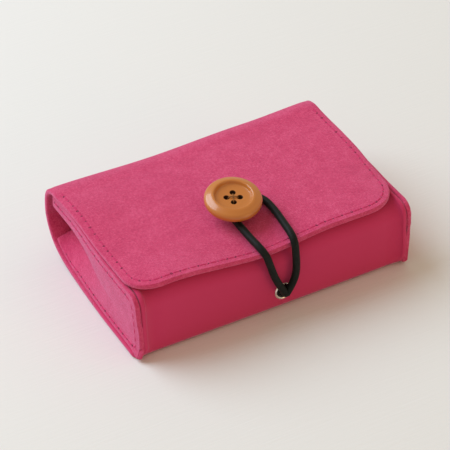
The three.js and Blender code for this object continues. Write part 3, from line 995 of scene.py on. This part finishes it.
def stitch_row(name, line, normal, body, replaced):
    """Stitches along line: short arches of thread between needle holes, on a surface with that normal."""
    normal = np.array(normal, float)
    gone = run_along(line)
    count = int(gone[-1] // STITCH_PITCH)
    pieces = []

    def place(s):
        return np.array([np.interp(s, gone, line[:, k]) for k in range(3)])

    starts = [(i + 0.09 * math.sin(5.1 * i)) * STITCH_PITCH for i in range(count + 1)]
    for start, end in zip(starts, starts[1:]):
        arch = []
        for t in np.linspace(0, 1, 11):
            height = 0.34 * MM * max(0, math.sin(math.pi * t)) ** 0.5 - 0.33 * MM
            share = HOLE_SHARE + (1 - 2 * HOLE_SHARE) * t
            arch.append(place(start + share * (end - start)) + normal * height)
        thread = tube("thread", arch, THREAD_RADIUS, sides=8)
        thread.data.materials.append(pink_thread)
        pieces.append(thread)
        pieces.append(needle_dent(place(start), normal, 0.78 + 0.22 * math.sin(start / (1.7 * MM))))
    row = joined_piece(name, pieces)
    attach(row, body)
    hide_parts(replaced)


def needle_dent(point, normal, size):
    """A small dark dent where the needle went through: a shallow cup that is closed below."""
    any_way = (0.3, 0.5, 0.81)
    side = unit(np.cross(normal, any_way))
    up = np.cross(normal, side)
    vertices, sides = [], 10
    for radius, height in ((0.5 * MM, 0), (0.4 * MM, 0.05 * MM)):
        vertices += [point + size * radius * (c * side + s * up) + normal * height for c, s in circle(sides)]
    vertices += [point - normal * depth for depth in (0.02 * MM, 0.3 * MM)]
    faces = []
    for k in range(sides):
        n = (k + 1) % sides
        faces.append((k, n, sides + n, sides + k))
        faces.append((sides + k, sides + n, 2 * sides))
        faces.append((n, k, 2 * sides + 1))
    dent = new_piece("dent", vertices, faces)
    set_cloth(dent, vertices)
    dent.data.materials.append(needle_hole)
    return dent


def flap_stitches():
    """A row round the flap's free edges."""
    half, front = FLAP_HALF - FLAP_STITCH_INSET, FLAP_LOW.y + FLAP_STITCH_INSET
    back = 27 * MM
    radii = (LEFT_CORNER - FLAP_STITCH_INSET, RIGHT_CORNER - FLAP_STITCH_INSET)
    path = filleted([(-half, back), (-half, front), (half, front), (half, back)], radii, 0.5 * MM)
    points = settled(tapered(np.column_stack([path, np.full(len(path), FLAP_MIDDLE_Z)])))
    points[:, 2] += FELT / 2 - 0.07 * MM
    stitch_row("flap_stitches", points, (0, 0, 1), "flap", "flap_thread")


def seam_stitches(name, side):
    """A row round the three sewn sides of a gusset."""
    high, front = SEAM_TOP - SEAM_STITCH_INSET, SEAM_FRONT + SEAM_STITCH_INSET
    low = 2.2 * MM + SEAM_STITCH_INSET / 2
    back = GUSSET_BACK - 1.5 * MM
    path = filleted([(back, high), (front, high), (front, low), (back, low)], (3 * MM, 1.5 * MM), 0.5 * MM)
    points = []
    for y, z in path:
        z = max(z, float(gusset_foot(y)) + 1.2 * MM) if z < 11 * MM else z
        section = gusset_section(float(y), side)
        x = float(np.interp(z, section[:, 1], section[:, 0]))
        points.append((side * (x + FELT / 2 * (1 - SEAM_PRESS / 2)), y, z))
    stitch_row(name, settled(points), (side, 0, 0), "case", name.replace("stitches", "thread"))


flap_stitches()
seam_stitches("left_seam_stitches", LEFT_SIDE)
seam_stitches("right_seam_stitches", RIGHT_SIDE)


# Needle leaf

LEAF_TRIM = 0.9 * MM  # keeps the sewn edge clear of the flap's fold as the leaf turns


def needle_leaf():
    """A thin cream page sewn under the back of the flap, with softly waved edges."""
    half_x, corner = (LEAF_HIGH.x - LEAF_LOW.x) / 2, 5 * MM
    back = LEAF_HIGH.y - LEAF_TRIM
    ys = np.linspace(LEAF_LOW.y, back, round((back - LEAF_LOW.y) / STEP) + 1)
    width = half_x - corner_cut(np.minimum(ys, LEAF_LOW.y + back - ys), LEAF_LOW.y, corner)
    share = np.linspace(-1, 1, 2 * round(half_x / STEP) + 1)
    x = width[:, None] * share[None, :]
    y = np.broadcast_to(ys[:, None], x.shape)
    z = (LEAF_LOW.z + LEAF_HIGH.z) / 2 + 0.12 * MM * np.sin(x / (7 * MM)) * smoothstep(0, LEAF_LOW.y, y)
    flat = np.stack([x, y, z], axis=2)
    points = settled(flat)
    raised = np.maximum(points[..., 2] - flat[..., 2], 0)
    points[..., 2] -= raised * smoothstep(back - 10 * MM, back, y)
    piece = felt_sheet("needle_leaf_felt", points, cloth_of(points), half=0.5 * MM)
    piece.data.materials.append(cream)
    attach(piece, "leaf")
    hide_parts("needle_leaf")


needle_leaf()


# Button

BUTTON_RADIUS = (BUTTON_HIGH.x - BUTTON_LOW.x) / 2
BUTTON_THICK = 3.9 * MM
DISH_RADIUS = 6.4 * MM
DISH_DEPTH = 1.4 * MM
HOLE_RADIUS = 1.0 * MM
HOLE_REACH = 3.1 * MM / math.sqrt(2)
HOLES_TURN = math.radians(67)
SWIVEL = next(joint for joint in frame["record"]["behaviour"]["joints"] if joint["name"] == "button_swivel")
BUTTON_PLACE = Vector(SWIVEL["pos_m"])  # middle of the underside
BUTTON_AXIS = Vector(SWIVEL["axis"])  # the elastic tips the button forwards
BUTTON_TIP = Vector((0, 0, 1)).rotation_difference(BUTTON_AXIS).to_matrix().to_4x4()
BUTTON_STAND = Matrix.Translation(BUTTON_PLACE) @ BUTTON_TIP


def hole_places():
    angles = [HOLES_TURN + k * math.pi / 2 for k in range(4)]
    return [(HOLE_REACH * math.cos(a), HOLE_REACH * math.sin(a)) for a in angles]


def button_profile():
    """Half section: flat underside, a broad rim that slopes up from its rounded edge, and a shallow dish."""
    edge = 1.35 * MM
    inner = BUTTON_RADIUS - edge
    middle = BUTTON_THICK * 0.42
    arc = [(inner + edge * math.cos(a), middle + middle * math.sin(a))
           for a in np.linspace(-math.pi / 2, 0.42 * math.pi, 19)]
    crest = [(inner - t * MM, BUTTON_THICK * h)
             for t, h in ((0.25, 0.885), (0.7, 0.95), (1.15, 0.985), (1.5, 1.0))]
    lip = (DISH_RADIUS + 0.1 * MM, BUTTON_THICK * 0.995)
    slope_width = 0.7 * MM
    slope = [(DISH_RADIUS - slope_width * t, BUTTON_THICK - DISH_DEPTH * (0.06 + 0.78 * smoothstep(0, 1, t)))
             for t in np.linspace(0, 1, 10)]
    floor = [(r * MM, BUTTON_THICK - DISH_DEPTH * (1 - 0.16 * (r / 5.5) ** 2))
             for r in (4.5, 3.4, 2.2, 1.1, 0)]
    return [(0, 0), (inner - 2 * MM, 0), *arc, *crest, lip, *slope, *floor]


def wooden_button():
    button = turned("wooden_button_turned", button_profile(), (0, 0, 0), "Z", 128)
    button.data.materials.append(wood)
    heights = np.linspace(-2 * MM, BUTTON_THICK + 2 * MM, 3)
    drills = [tube("drill", [(x, y, z) for z in heights], HOLE_RADIUS, 28) for x, y in hole_places()]
    cutter = joined_piece("drills", drills)
    # the holes' walls take the cutter's material: painted shade, nearly black
    cutter.data.materials.append(button_hole_shade)
    add_boolean(button, cutter).material_mode = "TRANSFER"
    soften = button.modifiers.new("soft_edges", "BEVEL")
    soften.width = 0.12 * MM
    soften.segments = 2
    soften.limit_method = "ANGLE"
    soften.angle_limit = math.radians(50)
    apply_modifiers(button, cutter)
    button.data.shade_smooth()
    button.data.transform(BUTTON_STAND)
    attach(button, "button")
    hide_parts("wooden_button")


def winding_line(low, high):
    """Turns of thread round the shank, wider at its ends."""
    turns = 7
    angles = np.linspace(0, 2 * math.pi * turns, turns * 20)
    radius = 0.9 * MM * (1 + 0.25 * np.abs(np.linspace(-1, 1, len(angles))) ** 3)
    heights = np.linspace(low, high, len(angles))
    return np.column_stack([radius * np.cos(angles), radius * np.sin(angles), heights])


def button_thread():
    """Threads up through the holes, crossing deep in the dish, and wound into a shank below."""
    dish = BUTTON_THICK - DISH_DEPTH
    parts = []
    holes = hole_places()
    inner = 0.72  # the threads press against the inner side of each hole
    for k in (0, 1):
        (ax, ay), (bx, by) = holes[k], holes[k + 2]
        over = 0.16 * MM + 0.3 * MM * k  # the second thread lies on the first
        rise = [(inner, -3 * MM), (inner, -0.5 * MM), (inner - 0.06, 0.05 * MM), (0.45, over)]
        points = [(ax * s, ay * s, dish + z) for s, z in rise]
        points.append((0, 0, dish + over))
        points += [(bx * s, by * s, dish + z) for s, z in rise[::-1]]
        parts.append(tube("cross", smooth_path(points, 0.25 * MM), 0.2 * MM, sides=10))
    low, high = (FLAP_TOP - BUTTON_PLACE.z) / BUTTON_AXIS.z - 0.4 * MM, -0.35 * MM
    parts.append(tube("winding", winding_line(low, high), 0.33 * MM, sides=8))
    core = [(0, 0, z) for z in np.linspace(low, high, 8)]
    parts.append(tube("core", core, 0.85 * MM))
    thread = joined_piece("button_thread_wound", parts)
    thread.data.materials.append(tan_thread)
    thread.data.transform(BUTTON_STAND)
    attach(thread, "button")
    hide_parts("button_thread")


wooden_button()
button_thread()


# Eyelet

def eyelet_ring():
    """A rolled flange with its barrel through the wall."""
    outer, inner = EYELET_RADIUS, 2.25 * MM
    middle, roll = (outer + inner) / 2, (outer - inner) / 2
    barrel = inner + 0.4 * MM
    face, back = -EYELET_LOW.y, -EYELET_HIGH.y
    under = face - 0.75 * MM
    bead_height = 0.55 * MM
    bead = [(middle + roll * math.cos(a), face + bead_height * (math.sin(a) - 1))
            for a in np.linspace(0, math.pi, 15)]
    profile = [(outer - 0.1 * MM, under), *bead, (inner, back), (barrel, back), (barrel, under)]
    ring = turned("eyelet_ring", profile, Vector((EYELET_CENTRE.x, 0, EYELET_CENTRE.z)), "-Y", 64)
    ring.data.materials.append(nickel)
    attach(ring, "case")
    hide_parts("eyelet")


def eyelet_washer():
    """The frame's washer, with the same metal."""
    washer = frame["nodes"]["eyelet_washer"]
    washer.data.materials.clear()
    washer.data.materials.append(nickel)


eyelet_ring()
eyelet_washer()


# Room

LIGHT_AIM = Vector((0, 0, 0.01))


def make_floor():
    reach = 3.0
    places = [(-reach, -reach, 0), (reach, -reach, 0), (reach, reach, 0), (-reach, reach, 0)]
    floor = new_piece("floor", places, [(0, 1, 2, 3)])
    floor.location.z = -0.2 * MM
    floor.data.materials.append(floor_material())


def area_light(name, place, size, power, colour):
    """A round soft light that looks at the case."""
    data = bpy.data.lights.new(name, "AREA")
    data.shape = "DISK"
    data.size = size
    data.energy = power
    data.color = colour
    light = linked(name, data)
    light.location = place
    light.rotation_mode = "QUATERNION"
    light.rotation_quaternion = (LIGHT_AIM - Vector(place)).to_track_quat("-Z", "Y")


def make_light():
    world = bpy.data.worlds.new("room")
    world.use_nodes = True
    set_inputs(world.node_tree.nodes["Background"], {"Color": (1.0, 0.87, 0.66, 1), "Strength": 0.54})
    bpy.context.scene.world = world
    area_light("window", (-0.55, 0.62, 0.85), 1.1, 14.0, (0.75, 0.86, 1.0))
    area_light("room_glow", (0.45, -1.0, 0.22), 0.5, 1.2, (1.0, 0.48, 0.12))
    bpy.context.scene.view_settings.view_transform = "Standard"


make_floor()
make_light()


def corners(box):
    return [list(corner) for corner in box]
